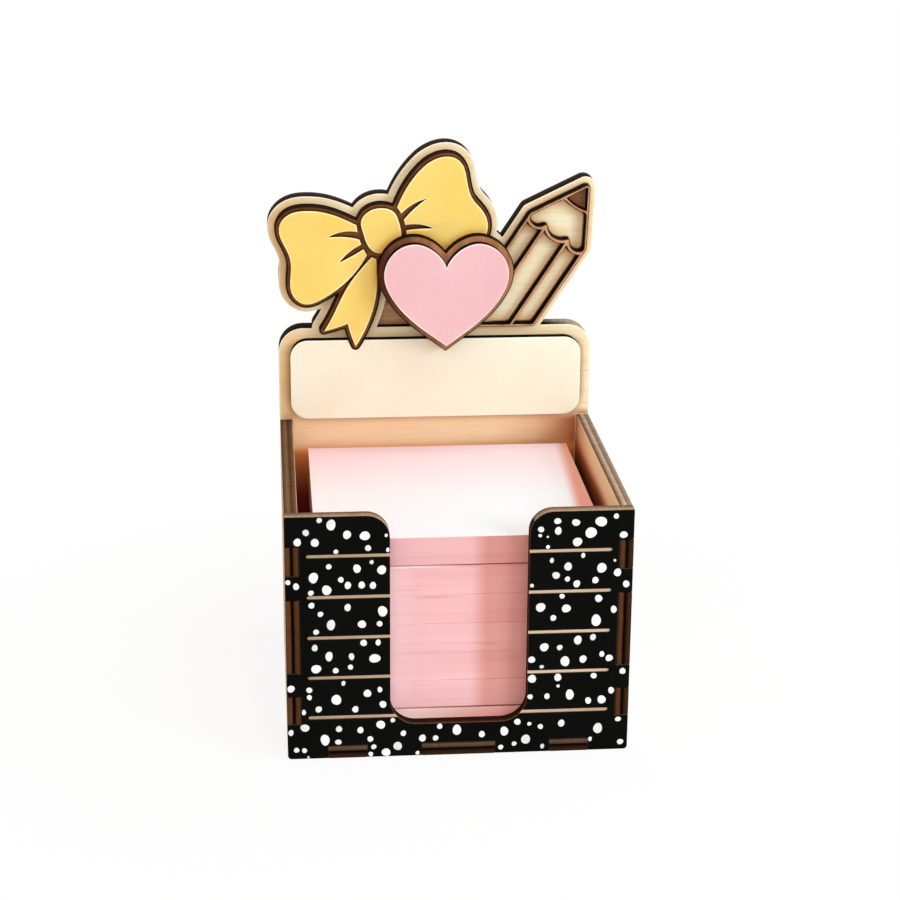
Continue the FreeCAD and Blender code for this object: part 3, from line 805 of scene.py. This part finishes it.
def front_dot_piece():
    """Hand-dabbed drops of white paint: thin, flat on top, and each a little out of round."""
    hand = random.Random(dot_seed)
    face_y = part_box("front_panel")[0][1]
    dots = bmesh.new()
    for across, up, width, height in front_dots:
        rim = bmesh.ops.create_circle(dots, cap_ends=True, radius=0.5, segments=dot_sides)["verts"]
        lean = hand.uniform(0, 2 * math.pi)
        for place, vert in enumerate(rim):
            turn = 2 * math.pi * place / dot_sides
            vert.co *= 1 + dot_oval * math.cos(2 * turn + lean) + dot_lobe * math.cos(3 * turn + 2 * lean)
        lay = Matrix.Translation((across * mm, face_y + dot_sink, up * mm))
        stand = Matrix.Rotation(math.radians(90), 4, "X")
        size = Matrix.Diagonal((width * mm, height * mm, 1.0, 1.0))
        bmesh.ops.transform(dots, matrix=lay @ stand @ size, verts=rim)
        raised = bmesh.ops.extrude_face_region(dots, geom=list(rim[0].link_faces), use_keep_orig=True)["geom"]
        top_verts = [part for part in raised if isinstance(part, bmesh.types.BMVert)]
        top_faces = [part for part in raised if isinstance(part, bmesh.types.BMFace)]
        bmesh.ops.translate(dots, vec=(0, -dot_sink - dot_rise, 0), verts=top_verts)
        crown = min(width, height) * dot_crown_share * mm
        bmesh.ops.inset_region(dots, faces=top_faces, thickness=crown, depth=dot_rise, use_even_offset=True)
    bmesh.ops.recalc_face_normals(dots, faces=dots.faces)
    for face in dots.faces:
        face.smooth = True
    return finished("front_dots", dots, [white_dots], "holder", [])


front_dot_piece()

# Header, from the back forwards
board_arris = 0.3 * mm
inlay_arris = 0.4 * mm
fret_arris_width = 0.2 * mm
bow_arris = 0.5 * mm
arris_drop = 0.1 * mm
fine_side = 0.03 * mm
inlay_side = 0.28 * mm
lit_shoulders = {"rear_board": 28 * mm, "header_board": 33 * mm}


def header_layer(node, face, arris, plies, width, shortest, slot):
    """One flat layer of the header, with a bare back and scorched cut edges."""
    layer = chamfered_board(node, width, arris_drop, shortest)
    edge = cut_edge(node + "_edge", "Y", *span_of(node, "Y"), plies, 0.94, lit_shoulders.get(node))
    finishes = [face, wood_x, edge, arris or edge, edge]
    return finished(node + "_finish", layer, finishes, "holder", [node])


for layer in (
    ("rear_board", window_shade_wood, None, rear_plies, board_arris, fine_side, "bare_wood"),
    ("header_board", front_birch, pale_arris, header_plies, board_arris, fine_side, "bare_wood"),
    ("name_plate", cream_paint, cream_line, layer_plies, inlay_arris, fine_side, "cream_plate"),
    ("bow_backing", brown_wood, brown_line, layer_plies, bow_arris, fine_side, "brown_wood"),
    ("bow_left_loop", yellow_paint, yellow_line, layer_plies, inlay_arris, inlay_side, "yellow_wood"),
    ("bow_right_loop", yellow_paint, yellow_line, layer_plies, inlay_arris, inlay_side, "yellow_wood"),
    ("bow_knot", yellow_paint, yellow_line, layer_plies, inlay_arris, inlay_side, "yellow_wood"),
    ("bow_tail", yellow_paint, yellow_line, layer_plies, inlay_arris, inlay_side, "yellow_wood"),
    ("pencil_fret", fret_wood, fret_line, layer_plies, fret_arris_width, fine_side, "fret_wood"),
    ("pencil_lead", lead_wood, brown_line, layer_plies, fret_arris_width, inlay_side, "brown_wood"),
    ("heart_backing", heart_brown, brown_line, layer_plies, board_arris, fine_side, "brown_wood"),
    ("heart_face", pink_paint, pink_line, layer_plies, inlay_arris, fine_side, "pink_wood"),
):
    header_layer(*layer)

# Notes: each pad as a few bundles of sheets that lie slightly out of line
bundles_per_pad = 3
bundle_gap = 0.012 * mm
bundle_stray = 0.06 * mm
bundle_ease = 0.02 * mm
worn_arris = 0.45 * mm
parting_ease = 0.5 * mm
paper_side, paper_top, parting, highlight_side = range(4)


def pad_piece(node, body, seed, worn_by, under_ease, top_finish, edges):
    """A pad whose outer sheets' edges are more or less worn round, with a painted highlight on its top arris
    and a painted shadow under its bottom edge, so that a break in the stack shows.
    """
    hand = random.Random(seed)
    low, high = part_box(node)
    step = (high[2] - low[2]) / bundles_per_pad
    pad = bmesh.new()
    for level in range(bundles_per_pad):
        bundle = bmesh.ops.create_cube(pad, size=1.0)["verts"]
        strays = [hand.uniform(0, bundle_stray) for side in range(4)]
        near = Vector((low[0] + strays[0], low[1] + strays[1], low[2] + level * step))
        far = Vector((high[0] - strays[2], high[1] - strays[3], near.z + step - bundle_gap))
        size = Matrix.Diagonal((*(far - near), 1.0))
        bmesh.ops.transform(pad, matrix=Matrix.Translation((near + far) / 2) @ size, verts=bundle)
    worn = [e for e in pad.edges if min(vert.co.z for vert in e.verts) > high[2] - bundle_gap - bundle_ease]
    under = [e for e in pad.edges if max(vert.co.z for vert in e.verts) < low[2] + bundle_ease]
    plain = [e for e in pad.edges if e not in worn and e not in under]
    for rims, ease in ((worn, worn_by), (under, under_ease), (plain, bundle_ease)):
        bmesh.ops.bevel(
            pad, geom=[e for e in rims if e.is_valid], offset=ease, offset_type="OFFSET",
            segments=1, profile=0.5, affect="EDGES", material=-1,
        )
    for face in pad.faces:
        height = face.calc_center_median().z
        face.material_index = paper_side
        # Painted highlight on the top arris, painted shadow under the bottom edge
        if face.normal.z > partly and height > high[2] - worn_arris:
            face.material_index = top_finish if face.normal.z > squarely else highlight_side
        elif face.normal.z < -partly and height < low[2] + parting_ease:
            face.material_index = parting
    finishes = [edges, sheet_face, parting_painted_shadow, paper_arris_highlight]
    return finished(node + "_sheets", pad, finishes, body, [node])


pad_piece("note_pad_1", "holder", 1, bundle_ease, bundle_ease, paper_side, lowest_sheet_edge)
pad_piece("note_pad_2", "holder", 2, bundle_ease, parting_ease, paper_side, sheet_edge)
for number in range(3, 6):
    pad_piece("note_pad_%d" % number, "holder", number, bundle_ease, bundle_ease, paper_side, sheet_edge)
pad_piece("note_pad_6", "holder", 6, worn_arris, bundle_ease, paper_top, sheet_edge)
pad_piece("top_pad", "lifting_pad", 7, bundle_ease, parting_ease, paper_top, top_sheet_edge)

note_columns = 12
note_rows = 44


def top_note():
    """The top sheet in one piece, from its flap to its glued strip, as a grid of small faces."""
    strip_low, strip_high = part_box("top_note_strip")
    flap_low, flap_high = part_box("top_note_flap")
    near = Vector(flap_low)
    far = Vector(strip_high)
    sheet = bmesh.new()
    grid = bmesh.ops.create_grid(sheet, x_segments=note_columns, y_segments=note_rows, size=0.5)["verts"]
    size = Matrix.Diagonal((far.x - near.x, far.y - near.y, 1.0, 1.0))
    middle = Vector(((near.x + far.x) / 2, (near.y + far.y) / 2, near.z))
    bmesh.ops.transform(sheet, matrix=Matrix.Translation(middle) @ size, verts=grid)
    raised = bmesh.ops.extrude_face_region(sheet, geom=sheet.faces[:], use_keep_orig=True)["geom"]
    top_verts = [part for part in raised if isinstance(part, bmesh.types.BMVert)]
    bmesh.ops.translate(sheet, vec=(0, 0, far.z - near.z), verts=top_verts)
    bmesh.ops.recalc_face_normals(sheet, faces=sheet.faces)
    for face in sheet.faces:
        face.material_index = paper_top if abs(face.normal.z) > mainly else paper_side
    note = finished(
        "top_note", sheet, [sheet_edge, sheet_face], None, ["top_note_strip", "top_note_flap"]
    )
    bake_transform(note)


top_note()


def seen_directly(tree):
    """1 for rays that the camera sends straight, through glass or by a mirror, and 0 for the rest."""
    path = tree.nodes.new("ShaderNodeLightPath")
    seen = path.outputs["Is Camera Ray"]
    for kind in ("Is Glossy Ray", "Is Transmission Ray"):
        total = tree.nodes.new("ShaderNodeMath")
        total.operation = "MAXIMUM"
        tree.links.new(seen, total.inputs[0])
        tree.links.new(path.outputs[kind], total.inputs[1])
        seen = total.outputs["Value"]
    return seen


def studio_world(fill):
    """White to the eye, and a softer, warmer light on the object."""
    world = bpy.data.worlds.new("studio")
    world.use_nodes = True
    tree = world.node_tree
    level = tree.nodes.new("ShaderNodeMix")
    level.data_type = "RGBA"
    tree.links.new(seen_directly(tree), level.inputs[mix_share])
    level.inputs[mix_under].default_value = fill
    level.inputs[mix_over].default_value = grey(1.0)
    background = tree.nodes["Background"]
    tree.links.new(level.outputs[mix_result], background.inputs["Color"])
    bpy.context.scene.world = world


def pale_floor(half_side, drop, shadow_share, shadow_near, shadow_far):
    """A white floor that keeps a soft part of the object's shadow, out to some way from it."""
    table = bmesh.new()
    bmesh.ops.create_grid(table, x_segments=1, y_segments=1, size=half_side)
    bmesh.ops.translate(table, vec=(0, 0, -drop), verts=table.verts)
    mesh = bpy.data.meshes.new("floor")
    table.to_mesh(mesh)
    table.free()
    finish = Finish("floor_white", 0.9, 0.0)
    tree = finish.tree
    tree.nodes.remove(finish.shader)
    spread = finish.node("ShaderNodeVectorMath", operation="LENGTH")
    finish.feed(spread.inputs[0], finish.place)
    away = spread.outputs["Value"]
    shadowed = finish.span(away, shadow_near, shadow_far, shadow_share, 0.0, "SMOOTHSTEP")
    catch = finish.node("ShaderNodeBsdfDiffuse")
    catch.inputs["Color"].default_value = grey(0.95)
    glow = finish.node("ShaderNodeEmission")
    glow.inputs["Color"].default_value = grey(1.0)
    shown = finish.node("ShaderNodeMixShader")
    finish.feed(shown.inputs[0], shadowed)
    finish.feed(shown.inputs[1], glow.outputs["Emission"])
    finish.feed(shown.inputs[2], catch.outputs["BSDF"])
    surface = finish.node("ShaderNodeMixShader")
    finish.feed(surface.inputs[0], seen_directly(tree))
    finish.feed(surface.inputs[1], catch.outputs["BSDF"])
    finish.feed(surface.inputs[2], shown.outputs["Shader"])
    finish.feed(tree.nodes["Material Output"].inputs["Surface"], surface.outputs["Shader"])
    mesh.materials.append(finish.material)
    floor = bpy.data.objects.new("floor", mesh)
    bpy.context.collection.objects.link(floor)


def soft_lamp(name, place, aim, width, height, power, colour):
    lamp = bpy.data.lights.new(name, "AREA")
    lamp.shape = "RECTANGLE"
    lamp.size = width
    lamp.size_y = height
    lamp.energy = power
    lamp.color = colour
    holder = bpy.data.objects.new(name, lamp)
    holder.location = place
    holder.rotation_euler = (Vector(aim) - Vector(place)).to_track_quat("-Z", "Y").to_euler()
    bpy.context.collection.objects.link(holder)


def camera(place, pitch, turn, roll, lens):
    """The photograph's camera: pitch is downwards, turn is to the right, in degrees."""
    pitch, turn, roll = [math.radians(angle) for angle in (pitch, turn, roll)]
    ahead = Vector((
        math.sin(turn) * math.cos(pitch), math.cos(turn) * math.cos(pitch), -math.sin(pitch)
    ))
    level = Vector((math.cos(turn), -math.sin(turn), 0))
    upward = level.cross(ahead)
    right = level * math.cos(roll) + upward * math.sin(roll)
    top = upward * math.cos(roll) - level * math.sin(roll)
    view = Matrix((right, top, -ahead)).transposed().to_4x4()
    data = bpy.data.cameras.new("camera")
    data.sensor_width = 36
    data.lens = lens
    data.clip_start = 0.01
    eye = bpy.data.objects.new("camera", data)
    eye.matrix_world = Matrix.Translation(place) @ view
    bpy.context.collection.objects.link(eye)
    bpy.context.scene.camera = eye


aim = (0, 0, 0.07)
cool_white = (0.73, 0.89, 1.0)
warm_white = (0.9, 0.91, 0.88)
studio_world(fill=(0.5, 0.41, 0.33, 1.0))
pale_floor(half_side=3.0, drop=0.05 * mm, shadow_share=0.12, shadow_near=0.06, shadow_far=0.2)
soft_lamp("key", (0.5, -0.4, 0.3), aim, width=0.22, height=0.3, power=1.99, colour=cool_white)
soft_lamp("front_fill", (-0.1, -1.0, 0.5), aim, width=0.7, height=0.7, power=3.2, colour=warm_white)
soft_lamp("top_light", (0.2, -0.15, 0.9), aim, width=0.5, height=0.5, power=3.47, colour=cool_white)
camera(place=(-0.04833, -0.56526, 0.25849), pitch=18.297, turn=4.997, roll=0.383, lens=86.27)
bpy.context.scene.view_settings.view_transform = "Standard"
